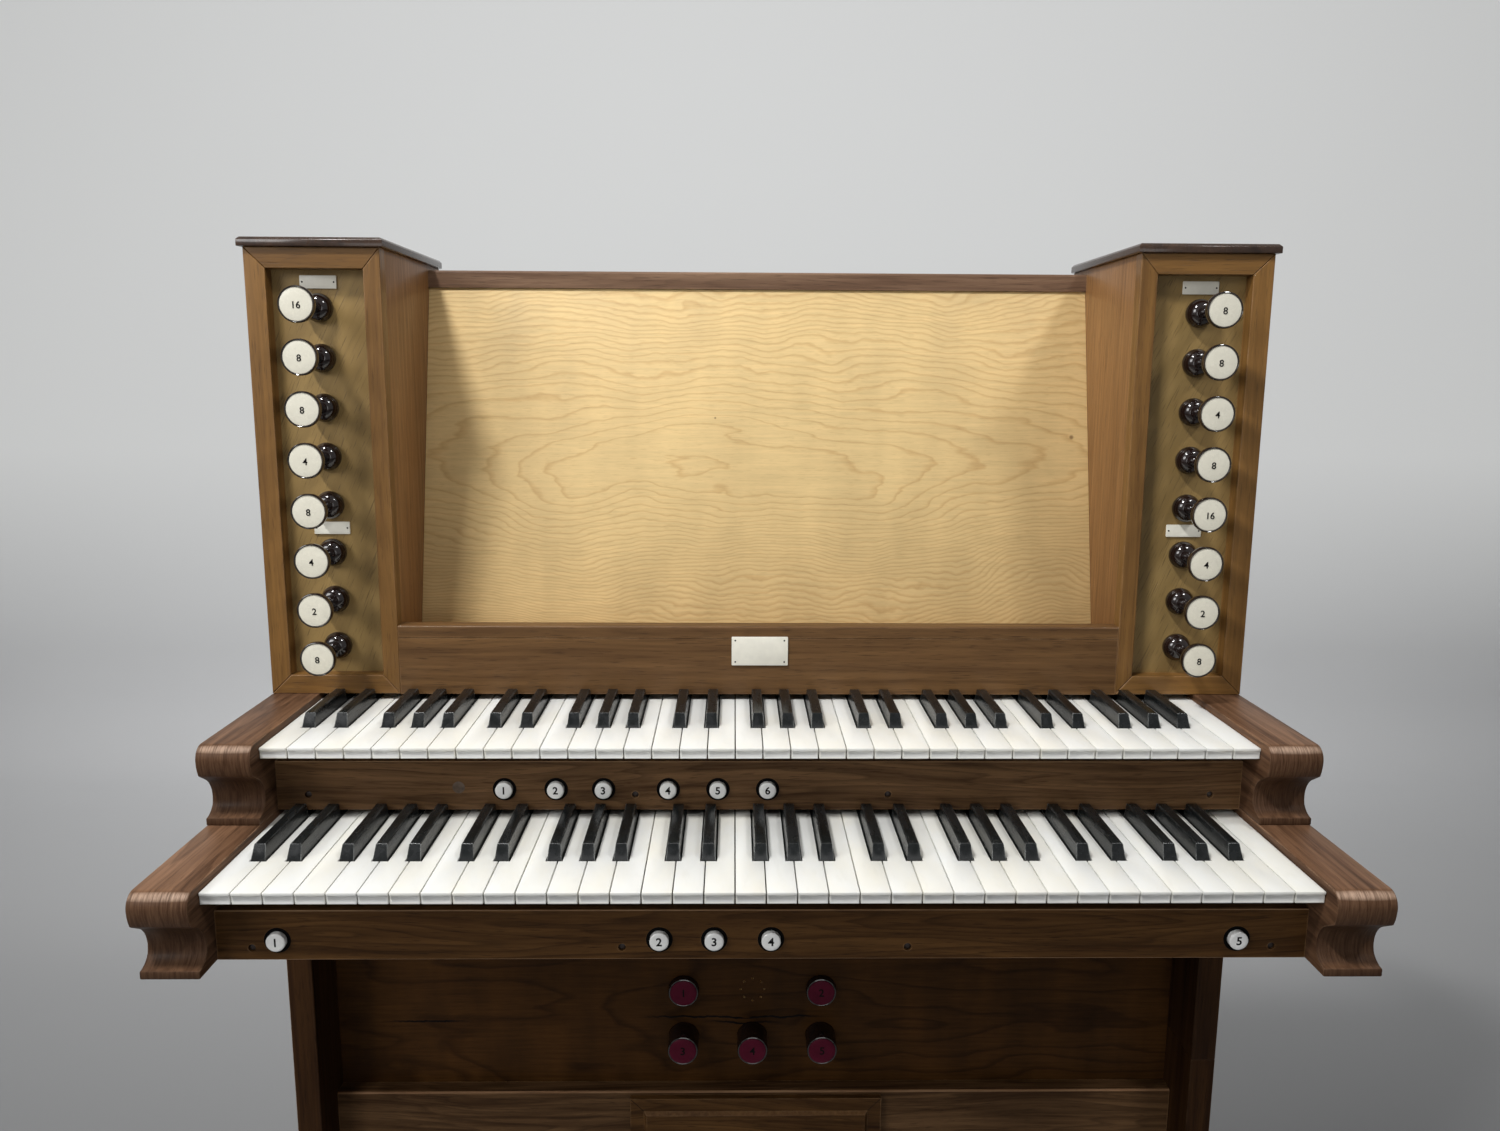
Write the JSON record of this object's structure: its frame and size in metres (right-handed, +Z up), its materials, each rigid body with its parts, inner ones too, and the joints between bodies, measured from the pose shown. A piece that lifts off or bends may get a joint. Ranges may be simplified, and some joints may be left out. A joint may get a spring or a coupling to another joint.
{
  "type": "organ console",
  "caption": "Detached wooden organ console with two stepped keyboards, drawstop jambs, thumb and toe pistons and a leaning music desk.",
  "frame": {"origin": "on the floor, at the middle of the console's width and depth", "axes": "+X to the player's right, +Y from the player to the back, +Z up"},
  "size_m": [0.944, 0.487, 1.3671],
  "materials": {
    "walnut": "satin oiled walnut with straight grain",
    "red_walnut": "reddish walnut, worn pale at the noses",
    "dark_walnut": "dark satin walnut",
    "golden_walnut": "golden brown walnut frames",
    "olive_walnut": "olive gold veneer with slanting figure",
    "cap_walnut": "dark polished walnut with a bright bevel",
    "maple": "pale rotary-cut maple plywood, satin",
    "natural_cover": "slightly yellowed white key covers",
    "sharp_cover": "black satin sharps with rubbed edges",
    "knob_black": "glossy brown black turned knobs",
    "piston_white": "white satin piston faces",
    "toe_burgundy": "burgundy faces on black studs",
    "plate_white": "cream engraved-plate stock, left bare"
  },
  "bodies": {
    "console": {"side_panels": "walnut", "right_side_foot": "walnut", "back_panel": "walnut", "base_board": "walnut", "kneeboard": "dark_walnut", "lower_kneeboard": "dark_walnut", "access_board": "dark_walnut", "key_bed": "walnut", "lower_key_frame": "walnut", "upper_key_bed": "walnut", "lower_piston_rail": "dark_walnut", "upper_piston_rail": "dark_walnut", "lower_key_cheeks": "red_walnut", "upper_key_cheeks": "red_walnut", "lower_naturals": "natural_cover", "upper_naturals": "natural_cover", "lower_sharps": "sharp_cover", "upper_sharps": "sharp_cover", "nameboard": "dark_walnut", "label_plates": "plate_white", "desk_ledge": "walnut", "music_desk_panel": "maple", "music_desk_rail": "dark_walnut", "jamb_cases": "walnut", "jamb_frames": "golden_walnut", "stop_boards": "olive_walnut", "jamb_caps": "cap_walnut", "drawstop_collars": "knob_black"},
    "left_drawstop_1": {"left_drawstop_1": "knob_black"},
    "left_drawstop_2": {"left_drawstop_2": "knob_black"},
    "left_drawstop_3": {"left_drawstop_3": "knob_black"},
    "left_drawstop_4": {"left_drawstop_4": "knob_black"},
    "left_drawstop_5": {"left_drawstop_5": "knob_black"},
    "left_drawstop_6": {"left_drawstop_6": "knob_black"},
    "left_drawstop_7": {"left_drawstop_7": "knob_black"},
    "left_drawstop_8": {"left_drawstop_8": "knob_black"},
    "right_drawstop_1": {"right_drawstop_1": "knob_black"},
    "right_drawstop_2": {"right_drawstop_2": "knob_black"},
    "right_drawstop_3": {"right_drawstop_3": "knob_black"},
    "right_drawstop_4": {"right_drawstop_4": "knob_black"},
    "right_drawstop_5": {"right_drawstop_5": "knob_black"},
    "right_drawstop_6": {"right_drawstop_6": "knob_black"},
    "right_drawstop_7": {"right_drawstop_7": "knob_black"},
    "right_drawstop_8": {"right_drawstop_8": "knob_black"},
    "upper_thumb_piston_1": {"upper_thumb_piston_1": "piston_white"},
    "upper_thumb_piston_2": {"upper_thumb_piston_2": "piston_white"},
    "upper_thumb_piston_3": {"upper_thumb_piston_3": "piston_white"},
    "upper_thumb_piston_4": {"upper_thumb_piston_4": "piston_white"},
    "upper_thumb_piston_5": {"upper_thumb_piston_5": "piston_white"},
    "upper_thumb_piston_6": {"upper_thumb_piston_6": "piston_white"},
    "lower_thumb_piston_1": {"lower_thumb_piston_1": "piston_white"},
    "lower_thumb_piston_2": {"lower_thumb_piston_2": "piston_white"},
    "lower_thumb_piston_3": {"lower_thumb_piston_3": "piston_white"},
    "lower_thumb_piston_4": {"lower_thumb_piston_4": "piston_white"},
    "lower_thumb_piston_5": {"lower_thumb_piston_5": "piston_white"},
    "toe_piston_1": {"toe_piston_1": "toe_burgundy"},
    "toe_piston_2": {"toe_piston_2": "toe_burgundy"},
    "toe_piston_3": {"toe_piston_3": "toe_burgundy"},
    "toe_piston_4": {"toe_piston_4": "toe_burgundy"},
    "toe_piston_5": {"toe_piston_5": "toe_burgundy"}
  },
  "joints": [
    {"name": "left_drawstop_1_slide", "type": "slide", "parent": "console", "child": "left_drawstop_1", "axis": [0, -1, 0], "range_m": [0, 0.02]},
    {"name": "left_drawstop_2_slide", "type": "slide", "parent": "console", "child": "left_drawstop_2", "axis": [0, -1, 0], "range_m": [0, 0.02]},
    {"name": "left_drawstop_3_slide", "type": "slide", "parent": "console", "child": "left_drawstop_3", "axis": [0, -1, 0], "range_m": [0, 0.02]},
    {"name": "left_drawstop_4_slide", "type": "slide", "parent": "console", "child": "left_drawstop_4", "axis": [0, -1, 0], "range_m": [0, 0.02]},
    {"name": "left_drawstop_5_slide", "type": "slide", "parent": "console", "child": "left_drawstop_5", "axis": [0, -1, 0], "range_m": [0, 0.02]},
    {"name": "left_drawstop_6_slide", "type": "slide", "parent": "console", "child": "left_drawstop_6", "axis": [0, -1, 0], "range_m": [0, 0.02]},
    {"name": "left_drawstop_7_slide", "type": "slide", "parent": "console", "child": "left_drawstop_7", "axis": [0, -1, 0], "range_m": [0, 0.02]},
    {"name": "left_drawstop_8_slide", "type": "slide", "parent": "console", "child": "left_drawstop_8", "axis": [0, -1, 0], "range_m": [0, 0.02]},
    {"name": "right_drawstop_1_slide", "type": "slide", "parent": "console", "child": "right_drawstop_1", "axis": [0, -1, 0], "range_m": [0, 0.02]},
    {"name": "right_drawstop_2_slide", "type": "slide", "parent": "console", "child": "right_drawstop_2", "axis": [0, -1, 0], "range_m": [0, 0.02]},
    {"name": "right_drawstop_3_slide", "type": "slide", "parent": "console", "child": "right_drawstop_3", "axis": [0, -1, 0], "range_m": [0, 0.02]},
    {"name": "right_drawstop_4_slide", "type": "slide", "parent": "console", "child": "right_drawstop_4", "axis": [0, -1, 0], "range_m": [0, 0.02]},
    {"name": "right_drawstop_5_slide", "type": "slide", "parent": "console", "child": "right_drawstop_5", "axis": [0, -1, 0], "range_m": [0, 0.02]},
    {"name": "right_drawstop_6_slide", "type": "slide", "parent": "console", "child": "right_drawstop_6", "axis": [0, -1, 0], "range_m": [0, 0.02]},
    {"name": "right_drawstop_7_slide", "type": "slide", "parent": "console", "child": "right_drawstop_7", "axis": [0, -1, 0], "range_m": [0, 0.02]},
    {"name": "right_drawstop_8_slide", "type": "slide", "parent": "console", "child": "right_drawstop_8", "axis": [0, -1, 0], "range_m": [0, 0.02]},
    {"name": "upper_thumb_piston_1_press", "type": "slide", "parent": "console", "child": "upper_thumb_piston_1", "axis": [0, 1, 0], "range_m": [0, 0.003], "stiffness_N_per_m": 500, "springref_m": -0.002},
    {"name": "upper_thumb_piston_2_press", "type": "slide", "parent": "console", "child": "upper_thumb_piston_2", "axis": [0, 1, 0], "range_m": [0, 0.003], "stiffness_N_per_m": 500, "springref_m": -0.002},
    {"name": "upper_thumb_piston_3_press", "type": "slide", "parent": "console", "child": "upper_thumb_piston_3", "axis": [0, 1, 0], "range_m": [0, 0.003], "stiffness_N_per_m": 500, "springref_m": -0.002},
    {"name": "upper_thumb_piston_4_press", "type": "slide", "parent": "console", "child": "upper_thumb_piston_4", "axis": [0, 1, 0], "range_m": [0, 0.003], "stiffness_N_per_m": 500, "springref_m": -0.002},
    {"name": "upper_thumb_piston_5_press", "type": "slide", "parent": "console", "child": "upper_thumb_piston_5", "axis": [0, 1, 0], "range_m": [0, 0.003], "stiffness_N_per_m": 500, "springref_m": -0.002},
    {"name": "upper_thumb_piston_6_press", "type": "slide", "parent": "console", "child": "upper_thumb_piston_6", "axis": [0, 1, 0], "range_m": [0, 0.003], "stiffness_N_per_m": 500, "springref_m": -0.002},
    {"name": "lower_thumb_piston_1_press", "type": "slide", "parent": "console", "child": "lower_thumb_piston_1", "axis": [0, 1, 0], "range_m": [0, 0.003], "stiffness_N_per_m": 500, "springref_m": -0.002},
    {"name": "lower_thumb_piston_2_press", "type": "slide", "parent": "console", "child": "lower_thumb_piston_2", "axis": [0, 1, 0], "range_m": [0, 0.003], "stiffness_N_per_m": 500, "springref_m": -0.002},
    {"name": "lower_thumb_piston_3_press", "type": "slide", "parent": "console", "child": "lower_thumb_piston_3", "axis": [0, 1, 0], "range_m": [0, 0.003], "stiffness_N_per_m": 500, "springref_m": -0.002},
    {"name": "lower_thumb_piston_4_press", "type": "slide", "parent": "console", "child": "lower_thumb_piston_4", "axis": [0, 1, 0], "range_m": [0, 0.003], "stiffness_N_per_m": 500, "springref_m": -0.002},
    {"name": "lower_thumb_piston_5_press", "type": "slide", "parent": "console", "child": "lower_thumb_piston_5", "axis": [0, 1, 0], "range_m": [0, 0.003], "stiffness_N_per_m": 500, "springref_m": -0.002},
    {"name": "toe_piston_1_press", "type": "slide", "parent": "console", "child": "toe_piston_1", "axis": [0, 1, 0], "range_m": [0, 0.006], "stiffness_N_per_m": 1000, "springref_m": -0.004},
    {"name": "toe_piston_2_press", "type": "slide", "parent": "console", "child": "toe_piston_2", "axis": [0, 1, 0], "range_m": [0, 0.006], "stiffness_N_per_m": 1000, "springref_m": -0.004},
    {"name": "toe_piston_3_press", "type": "slide", "parent": "console", "child": "toe_piston_3", "axis": [0, 1, 0], "range_m": [0, 0.006], "stiffness_N_per_m": 1000, "springref_m": -0.004},
    {"name": "toe_piston_4_press", "type": "slide", "parent": "console", "child": "toe_piston_4", "axis": [0, 1, 0], "range_m": [0, 0.006], "stiffness_N_per_m": 1000, "springref_m": -0.004},
    {"name": "toe_piston_5_press", "type": "slide", "parent": "console", "child": "toe_piston_5", "axis": [0, 1, 0], "range_m": [0, 0.006], "stiffness_N_per_m": 1000, "springref_m": -0.004}
  ]
}
